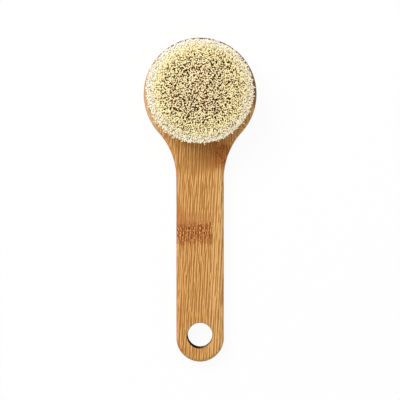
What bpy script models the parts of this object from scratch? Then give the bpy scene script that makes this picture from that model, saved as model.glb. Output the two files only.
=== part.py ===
"""Shower brush: one board of laminated bamboo, round head and handle together, set with bristle tufts.

The brush lies on its flat back with its bristles up. The origin is the centre of the round head,
on the back face. +Z points out of the bristles, and the handle runs towards -Y.

Each tuft is a bundle of bristles folded over a flat anchor wire and driven into its own drilled
hole. The wire's two ends stand out of the bundle and key into a slit in the wall of the hole.
"""

import math
import random

import bmesh
import bpy
from mathutils import Matrix, Vector

MM = 0.001

# Board outline
HEAD_DIAMETER = 82.0 * MM
HANDLE_WIDTH = 34.4 * MM
OVERALL_LENGTH = 235.0 * MM
NECK_FILLET_RADIUS = 51.0 * MM

# Board section
BOARD_THICKNESS = 12.0 * MM
EDGE_ROUND = 2.8 * MM
EDGE_ROUND_SEGMENTS = 5
LARGEST_ROUND = 0.45 * BOARD_THICKNESS

# Hanging hole
HANG_HOLE_DIAMETER = 18.0 * MM
HANG_HOLE_END_WALL = 10.3 * MM
HANG_HOLE_EASE = 0.7 * MM

# Drilled holes for the tufts, in rings round the head's centre
TUFTS_IN_RING = (1, 6, 11, 17, 23)
RIM_MARGIN = 8.2 * MM
TUFT_HOLE_FLOOR = 4.0 * MM
SEAT_GAP = 0.3 * MM

# Anchor wire, flattened, one in each tuft
ANCHOR_BITE = 0.4 * MM
ANCHOR_HEIGHT = 1.8 * MM
ANCHOR_THICKNESS = 0.6 * MM
FOLD_UNDER_ANCHOR = 1.0 * MM

# Bristles
BRISTLE_LENGTH = 25.0 * MM
TRIM_INSET = 3.0 * MM
ROOT_STAND = 0.4 * MM
ROOT_GRIP = 0.8 * MM
ROOT_SKIN = 0.12 * MM
OUTER_STRANDS = 7
STRAND_ROOT_RADIUS = 0.46 * MM
STRAND_TIP_RADIUS = 0.56 * MM
STRAND_SPACING = 0.15 * MM
TUFT_SPACING = 0.5 * MM
TIP_SCATTER = 0.3 * MM
TRIM_SCATTER = 0.5 * MM

# Facets. The steps along arcs are in degrees
HEAD_STEP = 5.0
NECK_STEP = 4.5
END_STEP = 7.5
EASE_STEP = 30.0
HANG_HOLE_SIDES = 48
TUFT_HOLE_SIDES = 10
ROOT_SIDES = 6
STRAND_SIDES = 3
SMOOTH_ANGLE = math.radians(35)
FLAT_ANGLE = math.radians(0.5)
CORNER_ANGLE = math.radians(60)
CUT_OVERRUN = 2.0 * MM
MERGE = 0.02 * MM

# Sizes that follow from those above
HEAD_RADIUS = HEAD_DIAMETER / 2
HALF_WIDTH = HANDLE_WIDTH / 2
HANDLE_END = HEAD_RADIUS - OVERALL_LENGTH
HANG_HOLE_RADIUS = HANG_HOLE_DIAMETER / 2
HANG_HOLE_PLACE = HANDLE_END + HANG_HOLE_END_WALL + HANG_HOLE_RADIUS

# The bundle of strands sets the size of the drill, and the drill that of the anchor
ROOT_CIRCLE = (STRAND_ROOT_RADIUS + STRAND_SPACING / 2) / math.sin(math.pi / OUTER_STRANDS)
ROOT_RADIUS = (ROOT_CIRCLE + STRAND_ROOT_RADIUS + ROOT_SKIN) / math.cos(math.pi / ROOT_SIDES)
TUFT_HOLE_RADIUS = ROOT_RADIUS + SEAT_GAP
ANCHOR_LENGTH = 2 * (TUFT_HOLE_RADIUS + ANCHOR_BITE)

# The holes are drilled closer than the tufts are trimmed, so the outer tufts lean out
HOLE_PITCH = (HEAD_RADIUS - RIM_MARGIN - TUFT_HOLE_RADIUS) / (len(TUFTS_IN_RING) - 1)
TRIM_PITCH = (HEAD_RADIUS - TRIM_INSET) / (len(TUFTS_IN_RING) - 0.5)
TIP_CIRCLE = (TRIM_PITCH - TUFT_SPACING) / 2 - STRAND_TIP_RADIUS - TIP_SCATTER

# Heights seen from a hole's mouth, where each tuft has its origin
HOLE_BOTTOM = TUFT_HOLE_FLOOR - BOARD_THICKNESS
ROOT_BOTTOM = HOLE_BOTTOM + SEAT_GAP
ANCHOR_BOTTOM = ROOT_BOTTOM + FOLD_UNDER_ANCHOR

SEED = 7

# Finishes, as colours in linear light
BAMBOO_COLOUR = (0.56, 0.28, 0.09)
BAMBOO_ROUGHNESS = 0.42
BRISTLE_COLOUR = (0.76, 0.64, 0.38)
BRISTLE_ROUGHNESS = 0.55


def clear_scene():
    for obj in list(bpy.data.objects):
        bpy.data.objects.remove(obj, do_unlink=True)


def new_collection(name):
    collection = bpy.data.collections.new(name)
    bpy.context.scene.collection.children.link(collection)
    return collection


def new_material(name, colour, roughness):
    material = bpy.data.materials.new(name)
    material.use_nodes = True
    shader = material.node_tree.nodes["Principled BSDF"]
    shader.inputs["Base Color"].default_value = (*colour, 1.0)
    shader.inputs["Roughness"].default_value = roughness
    shader.inputs["Metallic"].default_value = 0.0
    material.diffuse_color = (*colour, 1.0)
    return material


def new_object(name, data, collection, material=None):
    obj = bpy.data.objects.new(name, data)
    collection.objects.link(obj)
    if material:
        data.materials.append(material)
    return obj


def mesh_of(name, bm):
    mesh = bpy.data.meshes.new(name)
    bm.to_mesh(mesh)
    bm.free()
    return mesh


def evaluated_mesh(obj):
    """A new mesh of obj with its modifiers applied."""
    graph = bpy.context.evaluated_depsgraph_get()
    return bpy.data.meshes.new_from_object(obj.evaluated_get(graph))


def add_boolean(obj, tool, operation):
    modifier = obj.modifiers.new(tool.name, "BOOLEAN")
    modifier.operation = operation
    modifier.solver = "EXACT"
    modifier.object = tool


def arc(centre, radius, start, end, step):
    """Points along an arc from start to end, in degrees, both ends included."""
    count = max(2, math.ceil(abs(end - start) / step))
    angles = [math.radians(start + (end - start) * i / count) for i in range(count + 1)]
    return [Vector((centre[0] + radius * math.cos(a), centre[1] + radius * math.sin(a))) for a in angles]


def board_outline():
    """The outline, clockwise from the top of the head: head, neck fillet, handle side, round end."""
    fillet_x = HALF_WIDTH + NECK_FILLET_RADIUS
    fillet_y = -math.sqrt((HEAD_RADIUS + NECK_FILLET_RADIUS) ** 2 - fillet_x**2)
    meeting = math.degrees(math.atan2(fillet_y, fillet_x))
    head = arc((0, 0), HEAD_RADIUS, 90, meeting, HEAD_STEP)
    neck = arc((fillet_x, fillet_y), NECK_FILLET_RADIUS, 180 + meeting, 180, NECK_STEP)
    end = arc((0, HANDLE_END + HALF_WIDTH), HALF_WIDTH, 0, -90, END_STEP)
    right = head + neck[1:] + end
    left = [Vector((-p.x, p.y)) for p in reversed(right[1:-1])]
    return right + left


def board_blank():
    """The outline sawn out of a flat panel, as a closed mesh from z = 0 up."""
    curve = bpy.data.curves.new("board_outline", "CURVE")
    curve.dimensions = "2D"
    curve.fill_mode = "BOTH"
    curve.extrude = BOARD_THICKNESS / 2
    points = board_outline()
    spline = curve.splines.new("POLY")
    spline.points.add(len(points) - 1)
    for place, point in zip(spline.points, points):
        place.co = (point.x, point.y, 0, 1)
    spline.use_cyclic_u = True

    flat = bpy.data.objects.new("board_outline", curve)
    bpy.context.scene.collection.objects.link(flat)
    flat.location.z = BOARD_THICKNESS / 2
    bpy.context.view_layer.update()
    bm = bmesh.new()
    bm.from_mesh(evaluated_mesh(flat))
    bm.transform(flat.matrix_world)
    bmesh.ops.remove_doubles(bm, verts=bm.verts, dist=MERGE)
    bmesh.ops.dissolve_limit(bm, angle_limit=FLAT_ANGLE, verts=bm.verts, edges=bm.edges)
    bmesh.ops.recalc_face_normals(bm, faces=bm.faces)
    bpy.data.objects.remove(flat)
    return mesh_of("bamboo_board", bm)


def hang_hole_cutter(cutters):
    """A turned spool whose flared ends leave the hole's two rims eased."""
    flare = HANG_HOLE_RADIUS + HANG_HOLE_EASE
    above = BOARD_THICKNESS + CUT_OVERRUN
    upper = arc((flare, BOARD_THICKNESS - HANG_HOLE_EASE), HANG_HOLE_EASE, 90, 180, EASE_STEP)
    lower = arc((flare, HANG_HOLE_EASE), HANG_HOLE_EASE, 180, 270, EASE_STEP)
    profile = [Vector((0, above)), Vector((flare, above))] + upper + lower
    profile += [Vector((flare, -CUT_OVERRUN)), Vector((0, -CUT_OVERRUN))]

    mesh = bpy.data.meshes.new("hang_hole_cutter")
    mesh.from_pydata([(p.x, 0, p.y) for p in profile], [(i, i + 1) for i in range(len(profile) - 1)], [])
    cutter = new_object("hang_hole_cutter", mesh, cutters)
    cutter.location.y = HANG_HOLE_PLACE
    screw = cutter.modifiers.new("turn", "SCREW")
    screw.steps = HANG_HOLE_SIDES
    screw.render_steps = HANG_HOLE_SIDES
    screw.use_merge_vertices = True
    screw.merge_threshold = MERGE
    return cutter


def tuft_places():
    """Name, hole mouth and trimmed end of every tuft. Each ring starts at the top of the head."""
    places = []
    for ring, count in enumerate(TUFTS_IN_RING):
        for number in range(count):
            angle = math.pi / 2 + 2 * math.pi * number / count
            outwards = Vector((math.cos(angle), math.sin(angle), 0))
            mouth = outwards * HOLE_PITCH * ring + Vector((0, 0, BOARD_THICKNESS))
            trimmed = outwards * TRIM_PITCH * ring + Vector((0, 0, BOARD_THICKNESS + BRISTLE_LENGTH))
            name = f"tuft_ring{ring}_{number + 1:02d}" if ring else "tuft_centre"
            places.append((name, mouth, trimmed))
    return places


def tuft_hole_cutter(cutters, places):
    """One drill for each tuft. Its flats, not its corners, lie at the hole's radius."""
    bm = bmesh.new()
    radius = TUFT_HOLE_RADIUS / math.cos(math.pi / TUFT_HOLE_SIDES)
    depth = CUT_OVERRUN - HOLE_BOTTOM
    for _, mouth, _ in places:
        bmesh.ops.create_cone(
            bm,
            cap_ends=True,
            segments=TUFT_HOLE_SIDES,
            radius1=radius,
            radius2=radius,
            depth=depth,
            matrix=Matrix.Translation(mouth + Vector((0, 0, HOLE_BOTTOM + depth / 2))),
        )
    return new_object("tuft_hole_cutter", mesh_of("tuft_hole_cutter", bm), cutters)


def anchor_slit_cutter(cutters, places):
    """The slit that each anchor's ends cut as it is driven down its hole."""
    bm = bmesh.new()
    bottom = ANCHOR_BOTTOM - SEAT_GAP
    height = CUT_OVERRUN - bottom
    size = Vector((ANCHOR_LENGTH + 2 * SEAT_GAP, ANCHOR_THICKNESS + 2 * SEAT_GAP, height))
    for _, mouth, _ in places:
        place = Matrix.Translation(mouth + Vector((0, 0, bottom + height / 2)))
        bmesh.ops.create_cube(bm, size=1.0, matrix=place @ Matrix.Diagonal((*size, 1)))
    return new_object("anchor_slit_cutter", mesh_of("anchor_slit_cutter", bm), cutters)


def bamboo_board(parts, cutters, material, places):
    """Head and handle in one piece, with eased edges, the hanging hole and the tufts' holes."""
    board = new_object("bamboo_board", board_blank(), parts, material)
    bevel = board.modifiers.new("eased_edges", "BEVEL")
    bevel.width = min(EDGE_ROUND, LARGEST_ROUND)
    bevel.segments = EDGE_ROUND_SEGMENTS
    bevel.limit_method = "ANGLE"
    bevel.angle_limit = CORNER_ANGLE
    tools = (
        hang_hole_cutter(cutters),
        tuft_hole_cutter(cutters, places),
        anchor_slit_cutter(cutters, places),
    )
    for tool in tools:
        tool.hide_render = True
        tool.display_type = "WIRE"
        add_boolean(board, tool, "DIFFERENCE")
    bpy.context.view_layer.update()
    board.data = evaluated_mesh(board)
    board.modifiers.clear()
    board.data.shade_smooth()
    board.data.set_sharp_from_angle(angle=SMOOTH_ANGLE)
    normals = board.modifiers.new("even_shading", "WEIGHTED_NORMAL")
    normals.keep_sharp = True
    return board


def strand_ends(splay, turn, scatter):
    """Where each strand leaves the packed root, and its tip: one in the middle, the rest round it."""
    ends = []
    for strand in range(OUTER_STRANDS + 1):
        angle = turn + 2 * math.pi * strand / OUTER_STRANDS
        out = Vector((math.cos(angle), math.sin(angle), 0)) if strand < OUTER_STRANDS else Vector()
        astray = Matrix.Rotation(scatter.uniform(0, 2 * math.pi), 3, "Z") @ Vector((TIP_SCATTER, 0, 0))
        trimmed = BRISTLE_LENGTH - scatter.uniform(0, TRIM_SCATTER)
        root = out * ROOT_CIRCLE + Vector((0, 0, ROOT_STAND))
        tip = splay + out * TIP_CIRCLE + astray * scatter.random() + Vector((0, 0, trimmed))
        ends.append((root, tip))
    return ends


def add_strand(bm, root, tip):
    """A straight strand, sunk into the packed root by its grip."""
    along = (tip - root).normalized()
    foot = root - along * ROOT_GRIP
    turned = along.to_track_quat("Z", "Y").to_matrix().to_4x4()
    bmesh.ops.create_cone(
        bm,
        cap_ends=True,
        segments=STRAND_SIDES,
        radius1=STRAND_ROOT_RADIUS,
        radius2=STRAND_TIP_RADIUS,
        depth=(tip - foot).length,
        matrix=Matrix.Translation((foot + tip) / 2) @ turned,
    )


def tuft(name, mouth, trimmed, turn, scatter, parts, material):
    """One tuft: the packed root that fills its hole, the anchor across it and the strands above."""
    root = bmesh.new()
    height = ROOT_STAND - ROOT_BOTTOM
    flat_towards_anchor = Matrix.Rotation(math.pi / ROOT_SIDES - math.pi / 2, 4, "Z")
    bmesh.ops.create_cone(
        root,
        cap_ends=True,
        segments=ROOT_SIDES,
        radius1=ROOT_RADIUS,
        radius2=ROOT_RADIUS,
        depth=height,
        matrix=Matrix.Translation((0, 0, ROOT_BOTTOM + height / 2)) @ flat_towards_anchor,
    )
    anchor = bmesh.new()
    size = (ANCHOR_LENGTH, ANCHOR_THICKNESS, ANCHOR_HEIGHT, 1)
    across = Matrix.Translation((0, 0, ANCHOR_BOTTOM + ANCHOR_HEIGHT / 2)) @ Matrix.Diagonal(size)
    bmesh.ops.create_cube(anchor, size=1.0, matrix=across)
    strands = bmesh.new()
    splay = Vector((trimmed.x - mouth.x, trimmed.y - mouth.y, 0))
    for start, end in strand_ends(splay, turn, scatter):
        add_strand(strands, start, end)

    bundle = new_object(name, mesh_of(name, root), parts, material)
    helpers = [
        new_object("anchor", mesh_of("anchor", anchor), parts),
        new_object("strands", mesh_of("strands", strands), parts),
    ]
    for helper in helpers:
        add_boolean(bundle, helper, "UNION")
    bpy.context.view_layer.update()
    bundle.data = evaluated_mesh(bundle)
    bundle.data.name = name
    bundle.modifiers.clear()
    for helper in helpers:
        bpy.data.objects.remove(helper)
    bundle.location = mouth
    return bundle


def main():
    clear_scene()
    parts = new_collection("shower_brush")
    cutters = new_collection("cutters")
    bamboo = new_material("bamboo", BAMBOO_COLOUR, BAMBOO_ROUGHNESS)
    bristle = new_material("bristle", BRISTLE_COLOUR, BRISTLE_ROUGHNESS)

    brush = bpy.data.objects.new("brush", None)
    parts.objects.link(brush)
    places = tuft_places()
    pieces = [bamboo_board(parts, cutters, bamboo, places)]
    scatter = random.Random(SEED)
    for name, mouth, trimmed in places:
        turn = scatter.uniform(0, 2 * math.pi)
        pieces.append(tuft(name, mouth, trimmed, turn, scatter, parts, bristle))
    for piece in pieces:
        piece.parent = brush
    print("hole pitch %.2f mm, trimmed pitch %.2f mm" % (HOLE_PITCH / MM, TRIM_PITCH / MM))


main()
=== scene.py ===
# %% [markdown]
# # A shower brush of laminated bamboo
# The brush lies on its back with its bristles up, as it does in a shop's photograph. It is one board,
# sawn from a panel of pressed bamboo strips, and a round pad of natural bristles in drilled holes.
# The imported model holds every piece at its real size. This script gives the brush its looks: the
# grain and the nodes of the bamboo, and several thousand single bristles.

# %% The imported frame
import math
from types import SimpleNamespace

import bmesh
import bpy
from mathutils import Matrix, Vector


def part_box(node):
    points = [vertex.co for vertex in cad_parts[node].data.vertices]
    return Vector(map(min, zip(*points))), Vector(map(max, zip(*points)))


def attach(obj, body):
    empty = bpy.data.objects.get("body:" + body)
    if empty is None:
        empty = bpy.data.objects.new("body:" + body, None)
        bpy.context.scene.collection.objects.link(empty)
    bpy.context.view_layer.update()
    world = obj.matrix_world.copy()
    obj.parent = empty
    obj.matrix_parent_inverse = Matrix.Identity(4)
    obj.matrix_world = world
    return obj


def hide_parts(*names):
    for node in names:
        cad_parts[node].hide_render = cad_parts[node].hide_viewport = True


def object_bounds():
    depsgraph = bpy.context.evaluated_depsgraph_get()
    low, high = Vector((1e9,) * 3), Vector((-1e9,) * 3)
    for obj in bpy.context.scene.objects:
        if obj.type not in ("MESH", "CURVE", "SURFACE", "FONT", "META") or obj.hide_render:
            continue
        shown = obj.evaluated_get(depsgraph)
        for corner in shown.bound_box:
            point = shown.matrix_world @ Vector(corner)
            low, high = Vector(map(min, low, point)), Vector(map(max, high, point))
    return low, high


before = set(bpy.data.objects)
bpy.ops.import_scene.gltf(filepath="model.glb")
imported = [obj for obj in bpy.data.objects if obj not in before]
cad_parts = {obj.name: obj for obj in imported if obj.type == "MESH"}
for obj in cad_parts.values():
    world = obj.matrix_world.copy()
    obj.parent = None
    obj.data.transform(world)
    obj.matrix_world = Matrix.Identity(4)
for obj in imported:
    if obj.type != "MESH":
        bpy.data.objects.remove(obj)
CAD_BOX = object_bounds()
MM = 0.001
print("nodes:", len(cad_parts), "box in mm:", [round(side / MM, 1) for side in CAD_BOX[1] - CAD_BOX[0]])

# %% [markdown]
# ## Sizes
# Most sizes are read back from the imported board: its length, its width over the head and its
# thickness. The origin is the centre of the head on the back face, so the head's radius is also how
# far the board reaches beyond the origin. The few sizes that a box can't tell are named here.

# %% Sizes of the board
BOARD_LOW, BOARD_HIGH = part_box("bamboo_board")
HEAD_RADIUS = BOARD_HIGH.x
HANDLE_END = BOARD_LOW.y
THICKNESS = BOARD_HIGH.z
HALF_WIDTH = 17.2 * MM
NECK_FILLET = 51.0 * MM
EDGE_ROUND = 2.8 * MM
HANG_HOLE_RADIUS = 9.0 * MM
HANG_HOLE_EASE = 0.7 * MM
HANG_HOLE_TO_END = 10.3 * MM
HANG_HOLE_PLACE = HANDLE_END + HANG_HOLE_TO_END + HANG_HOLE_RADIUS
print("head radius %.2f mm, handle end %.1f mm" % (HEAD_RADIUS / MM, HANDLE_END / MM))

# %% [markdown]
# ## The camera
# The photograph looks straight down on the brush from about a metre. Two things tell the distance:
# a thin crescent of the hanging hole's wall shows at its lower edge, and the circle of the bristle
# tips, which is nearer to the camera, is larger than its true size and shifted away from the centre
# of the view. A long lens at that distance gives both.

# %% The camera
PIXELS = 400
SCALE = 0.7235 * MM
HEAD_PIXEL = (200.1, 93.9)
CAMERA_DISTANCE = 1050 * MM

view = bpy.data.cameras.new("photo_view")
view.lens = view.sensor_width * CAMERA_DISTANCE / (PIXELS * SCALE)
view.clip_start = 0.01
camera = bpy.data.objects.new("photo_view", view)
camera.location = (
    (PIXELS / 2 - HEAD_PIXEL[0]) * SCALE,
    (HEAD_PIXEL[1] - PIXELS / 2) * SCALE,
    THICKNESS + CAMERA_DISTANCE,
)
bpy.context.scene.collection.objects.link(camera)
bpy.context.scene.camera = camera
print("lens %.0f mm" % view.lens)

# %% [markdown]
# ## Sums on sockets
# Both the finishes and the bristles are worked out by node trees. Written node by node they would
# be hard to read, so a small class wraps a socket and lets Python's own signs stand for Math nodes.
# The four signs of arithmetic also have their reflected forms, so that 1 - mask works as well as
# mask - 1. Comparisons reflect each other.


# %% Sums on sockets
def sum_of(operation, swapped=False):
    """A method that adds one Math node for its value and the others that it is given."""

    def method(self, *others):
        values = (self, *others)
        return self.graph.math(operation, *(reversed(values) if swapped else values))

    return method


class Value:
    """A socket that can be used in Python sums. Each sum adds its Math node to the tree."""

    def __init__(self, graph, socket):
        self.graph = graph
        self.socket = socket

    __add__ = __radd__ = sum_of("ADD")
    __mul__ = __rmul__ = sum_of("MULTIPLY")
    __sub__ = sum_of("SUBTRACT")
    __rsub__ = sum_of("SUBTRACT", swapped=True)
    __truediv__ = sum_of("DIVIDE")
    __rtruediv__ = sum_of("DIVIDE", swapped=True)
    __pow__ = sum_of("POWER")
    __mod__ = sum_of("FLOORED_MODULO")
    __lt__ = sum_of("LESS_THAN")
    __gt__ = sum_of("GREATER_THAN")
    floor = sum_of("FLOOR")
    abs = sum_of("ABSOLUTE")
    sin = sum_of("SINE")
    cos = sum_of("COSINE")
    smallest = sum_of("MINIMUM")

    def rise(self, low, high):
        """0 up to low and 1 from high, with a smooth climb between. It falls where low is above high."""
        sockets = {"Value": self, "From Min": low, "From Max": high}
        return self.graph.node("ShaderNodeMapRange", {"interpolation_type": "SMOOTHSTEP"}, sockets)


def own_names(kind):
    """The methods that a class adds."""
    return [name for name in vars(kind) if not name.startswith("_")]


print("named sums:", own_names(Value))

# %% [markdown]
# One method of the tree's wrapper adds any other node: its settings first, because some of them
# change which sockets a node has, and then the values or links of its sockets.


# %% A node tree being built
class Graph:
    """A node tree being built."""

    def __init__(self, tree):
        self.tree = tree
        self.tree.nodes.clear()

    def node(self, kind, settings=None, sockets=None, output=0):
        """Adds a node: first its settings, then the values or links of its sockets."""
        made = self.tree.nodes.new(kind)
        for name, setting in (settings or {}).items():
            setattr(made, name, setting)
        for key, value in (sockets or {}).items():
            socket = made.inputs[key]
            if isinstance(value, Value):
                self.tree.links.new(value.socket, socket)
            else:
                socket.default_value = value
        return Value(self, made.outputs[output]) if made.outputs else made

    def math(self, operation, *values):
        return self.node("ShaderNodeMath", {"operation": operation}, dict(enumerate(values)))

    def vector(self, x, y, z):
        return self.node("ShaderNodeCombineXYZ", sockets={"X": x, "Y": y, "Z": z})

    def axes(self, vector):
        """The three numbers of a vector."""
        split = self.node("ShaderNodeSeparateXYZ", sockets={"Vector": vector}).socket.node
        return [Value(self, socket) for socket in split.outputs]


print("ways to add nodes:", own_names(Graph))

# %% [markdown]
# ## The board
# On the real brush the board is sawn and sanded from one flat panel, head and handle together. Its
# outline is the head's circle, a fillet on each side of the neck that touches the circle and the
# handle's straight side, and the half circle of the handle's end. It could be a Bezier curve, but
# true arcs keep the roundness that a router's template gives.


# %% The board's outline
ARC_STEP = 1.5
HANDLE_END_STEP = 3


def arc(centre, radius, start, end, step):
    """Points along an arc from start to end, in degrees, both ends included."""
    count = math.ceil(abs(end - start) / step)
    angles = [math.radians(start + (end - start) * i / count) for i in range(count + 1)]
    return [(centre[0] + radius * math.cos(a), centre[1] + radius * math.sin(a)) for a in angles]


def board_outline():
    """The outline, clockwise from the top of the head."""
    fillet_x = HALF_WIDTH + NECK_FILLET
    fillet_y = -math.sqrt((HEAD_RADIUS + NECK_FILLET) ** 2 - fillet_x**2)
    meeting = math.degrees(math.atan2(fillet_y, fillet_x))
    right = arc((0, 0), HEAD_RADIUS, 90, meeting, ARC_STEP)
    right += arc((fillet_x, fillet_y), NECK_FILLET, 180 + meeting, 180, ARC_STEP)[1:]
    right += arc((0, HANDLE_END + HALF_WIDTH), HALF_WIDTH, 0, -90, HANDLE_END_STEP)
    left = [(-x, y) for x, y in reversed(right[1:-1])]
    return right + left


print("outline points:", len(board_outline()))

# %% [markdown]
# ### Where the tufts stand
# The tufts are drilled in rings round the centre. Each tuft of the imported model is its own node, so
# the ring that a tuft belongs to is read from its name, and the number of tufts in a ring with it.


# %% The rings of tufts
def tuft_nodes(ring):
    """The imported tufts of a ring, in their order round it. Ring 0 is the single tuft in the middle."""
    start = f"tuft_ring{ring}_" if ring else "tuft_centre"
    return sorted(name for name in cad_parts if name.startswith(start))


RING_COUNT = 5
RINGS = [tuft_nodes(ring) for ring in range(RING_COUNT)]
HOLE_RADIUS = 2.36 * MM
HOLE_FLOOR = 4.0 * MM
HOLE_PITCH = 7.61 * MM
FULL_TURN = 2 * math.pi
TOP_OF_HEAD = FULL_TURN / 4


def tuft_mouths():
    """The middle of each drilled hole at the board's face. Each ring starts at the top of the head."""
    for ring, names in enumerate(RINGS):
        radius = HOLE_PITCH * ring
        for number in range(len(names)):
            angle = TOP_OF_HEAD + FULL_TURN * number / len(names)
            yield Vector((radius * math.cos(angle), radius * math.sin(angle), THICKNESS))


print("tufts in each ring:", [len(names) for names in RINGS])

# %% [markdown]
# ### From mesh code to a finished piece
# Mesh code edits a bmesh, which isn't part of the scene until it is written to an object. Modifiers
# then change how the object evaluates, and leave its own mesh as it was. At the end each piece takes
# its evaluated mesh for good and drops its modifiers, so that its own mesh is what is seen.


# %% Objects and finished meshes
def mesh_object(name, bm):
    """Writes a bmesh to a new object in the scene."""
    mesh = bpy.data.meshes.new(name)
    bm.to_mesh(mesh)
    bm.free()
    made = bpy.data.objects.new(name, mesh)
    bpy.context.scene.collection.objects.link(made)
    return made


def applied(obj):
    """Replaces obj's mesh by its evaluated one, and drops its modifiers."""
    bpy.context.view_layer.update()
    mesh = bpy.data.meshes.new_from_object(obj.evaluated_get(bpy.context.evaluated_depsgraph_get()))
    mesh.name = obj.name
    obj.modifiers.clear()
    obj.data = mesh
    return obj


# %% [markdown]
# ### The cutters
# The hanging hole is bored right through and its rims are eased by hand, so that they don't fray the
# cord that it may hang on. Its cutter is turned like a thread spool: a straight middle with flared
# ends. The tufts' holes are blind and straight, and all their cutters are in one object.

# %% The cutters of the holes
OVERRUN = 2 * MM
EASE_STEP = 15
HANG_HOLE_SIDES = 96
TUFT_HOLE_SIDES = 20


def spool(radius, flare, height, sides):
    """A closed turned cutter along Z whose two ends flare, so that it leaves a hole with eased rims."""
    upper = arc((radius + flare, height - flare), flare, 90, 180, EASE_STEP)
    lower = arc((radius + flare, flare), flare, 180, 270, EASE_STEP)
    profile = [(radius + flare, height + OVERRUN)] + upper + lower + [(radius + flare, -OVERRUN)]
    bm = bmesh.new()
    turn = [FULL_TURN * i / sides for i in range(sides)]
    loops = [[bm.verts.new((r * math.cos(a), r * math.sin(a), z)) for a in turn] for r, z in profile]
    for upper_loop, lower_loop in zip(loops, loops[1:]):
        for i in range(sides):
            j = (i + 1) % sides
            bm.faces.new((upper_loop[i], lower_loop[i], lower_loop[j], upper_loop[j]))
    bm.faces.new(loops[0])
    bm.faces.new(reversed(loops[-1]))
    return bm


def hang_hole_cutter():
    turned = spool(HANG_HOLE_RADIUS, HANG_HOLE_EASE, THICKNESS, HANG_HOLE_SIDES)
    cutter = mesh_object("hang_hole", turned)
    cutter.data.transform(Matrix.Translation((0, HANG_HOLE_PLACE, 0)))
    return cutter


def tuft_hole_cutters():
    """Each drill reaches as far above the board's face as below it."""
    drills = bmesh.new()
    sizes = {"radius1": HOLE_RADIUS, "radius2": HOLE_RADIUS, "depth": 2 * (THICKNESS - HOLE_FLOOR)}
    for mouth in tuft_mouths():
        place = Matrix.Translation(mouth)
        bmesh.ops.create_cone(drills, cap_ends=True, segments=TUFT_HOLE_SIDES, matrix=place, **sizes)
    return mesh_object("tuft_holes", drills)


print("the tufts' holes are %.1f mm deep" % ((THICKNESS - HOLE_FLOOR) / MM))

# %% [markdown]
# ### Sawing, rounding and drilling
# The blank is the outline with the panel's thickness. In the workshop a round-over bit runs along
# both rims; here a Bevel modifier does it, limited to edges that are sharp enough to be rims. The
# holes are cut last, as on the bench, so the bevel doesn't touch them.

# %% The board
ROUND_SEGMENTS = 9
RIM_ANGLE = math.radians(60)
CREASE_ANGLE = math.radians(40)


def board_blank():
    """The outline, as thick as the panel, with square rims."""
    bm = bmesh.new()
    outline = bm.faces.new([bm.verts.new((x, y, 0)) for x, y in board_outline()])
    walls = bmesh.ops.extrude_face_region(bm, geom=[outline])
    top = [part for part in walls["geom"] if isinstance(part, bmesh.types.BMVert)]
    bmesh.ops.translate(bm, verts=top, vec=(0, 0, THICKNESS))
    bmesh.ops.recalc_face_normals(bm, faces=bm.faces)
    return mesh_object("bamboo_board_fine", bm)


def round_rims(board):
    bevel = board.modifiers.new("rounded_edges", "BEVEL")
    bevel.width = EDGE_ROUND
    bevel.segments = ROUND_SEGMENTS
    bevel.limit_method = "ANGLE"
    bevel.angle_limit = RIM_ANGLE


def bore(board, *cutters):
    """Cuts the holes, makes the board's mesh final, and puts the cutters away."""
    for cutter in cutters:
        cut = board.modifiers.new(cutter.name, "BOOLEAN")
        cut.operation = "DIFFERENCE"
        cut.object = cutter
    applied(board)
    for cutter in cutters:
        bpy.data.objects.remove(cutter)


board = board_blank()
round_rims(board)
bore(board, hang_hole_cutter(), tuft_hole_cutters())
board.data.shade_smooth()
board.data.set_sharp_from_angle(angle=CREASE_ANGLE)
print("board faces:", len(board.data.polygons))

# %% [markdown]
# ## The finish of the bamboo
# Bamboo lumber is made of strips split from the hollow stalk, planed flat and glued into plies. Each
# strip shows fine straight fibres, and where the stalk had a joint, a band of short dark dashes.
# A picture wrapped round the board would smear on its edges. This finish is worked out in three
# dimensions instead, from the board's own coordinates, so that it runs on round every edge.


# %% Colours
def colour(red, green, blue):
    """A colour as a picture writes it, from 0 to 255, as the linear values that shaders use."""

    def linear(level):
        level = level / 255
        return level / 12.92 if level <= 0.04045 else ((level + 0.055) / 1.055) ** 2.4

    return (linear(red), linear(green), linear(blue), 1.0)


print("middle grey is", round(colour(128, 128, 128)[0], 3), "in linear light")

# %% [markdown]
# ### What the finishes share
# Every finish starts from a place on the piece, draws smooth noise or whole random numbers from it,
# mixes colours by shares, and ends in a shader. Those steps are methods of one class.


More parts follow.
